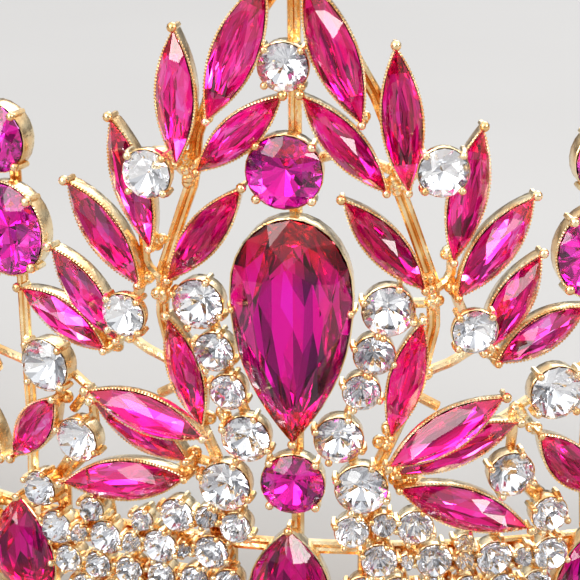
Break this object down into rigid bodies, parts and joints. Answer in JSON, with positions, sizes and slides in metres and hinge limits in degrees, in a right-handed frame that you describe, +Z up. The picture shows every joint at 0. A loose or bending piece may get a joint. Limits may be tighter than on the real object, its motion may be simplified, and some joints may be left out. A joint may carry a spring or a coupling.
{
  "type": "tiara",
  "caption": "Openwork tiara: gold wire frame on a flat-footed open band, with leaf, pear and round fuchsia stones and clear rounds in cup settings, tallest at the front.",
  "frame": {"origin": "on the surface it stands on, under the middle of the tiara's box", "axes": "+Z up; the front of the tiara faces -Y; +X is to the right as seen from the front"},
  "size_m": [0.1506, 0.0915, 0.0786],
  "materials": {
    "gold_alloy": "polished warm gold plate",
    "fuchsia_crystal": "cut and polished, foil-backed",
    "clear_crystal": "cut and polished, foil-backed"
  },
  "bodies": {
    "root": {"frame": "gold_alloy", "leaf_top_right": "fuchsia_crystal", "leaf_top_left": "fuchsia_crystal", "leaf_upright_right": "fuchsia_crystal", "leaf_upright_left": "fuchsia_crystal", "leaf_arch_right": "fuchsia_crystal", "leaf_arch_left": "fuchsia_crystal", "leaf_inner_right": "fuchsia_crystal", "leaf_inner_left": "fuchsia_crystal", "leaf_tall_right": "fuchsia_crystal", "leaf_tall_left": "fuchsia_crystal", "leaf_wide_right": "fuchsia_crystal", "leaf_wide_left": "fuchsia_crystal", "leaf_outer_right": "fuchsia_crystal", "leaf_outer_left": "fuchsia_crystal", "leaf_low_outer_right": "fuchsia_crystal", "leaf_low_outer_left": "fuchsia_crystal", "leaf_front_right": "fuchsia_crystal", "leaf_front_left": "fuchsia_crystal", "leaf_back_right": "fuchsia_crystal", "leaf_back_left": "fuchsia_crystal", "leaf_sweep_right": "fuchsia_crystal", "leaf_sweep_left": "fuchsia_crystal", "leaf_drop_right": "fuchsia_crystal", "leaf_drop_left": "fuchsia_crystal", "leaf_side_right": "fuchsia_crystal", "leaf_side_left": "fuchsia_crystal", "clear_high_right": "clear_crystal", "clear_high_left": "clear_crystal", "clear_mid_right": "clear_crystal", "clear_mid_left": "clear_crystal", "clear_low_right": "clear_crystal", "clear_low_left": "clear_crystal", "side_round_right": "fuchsia_crystal", "side_round_left": "fuchsia_crystal", "side_disc_right": "fuchsia_crystal", "side_disc_left": "fuchsia_crystal", "crown_clear": "clear_crystal", "crown_round": "fuchsia_crystal", "heart_round": "fuchsia_crystal", "centre_pear": "fuchsia_crystal", "band_pear": "fuchsia_crystal", "pear_rounds_right": "clear_crystal", "pear_rounds_left": "clear_crystal", "side_spray_right": "fuchsia_crystal", "side_spray_left": "fuchsia_crystal", "side_motif_2_right": "fuchsia_crystal", "side_motif_2_left": "fuchsia_crystal", "side_motif_3_right": "fuchsia_crystal", "side_motif_3_left": "fuchsia_crystal", "band_stones_right": "clear_crystal", "band_stones_left": "clear_crystal"}
  },
  "joints": []
}
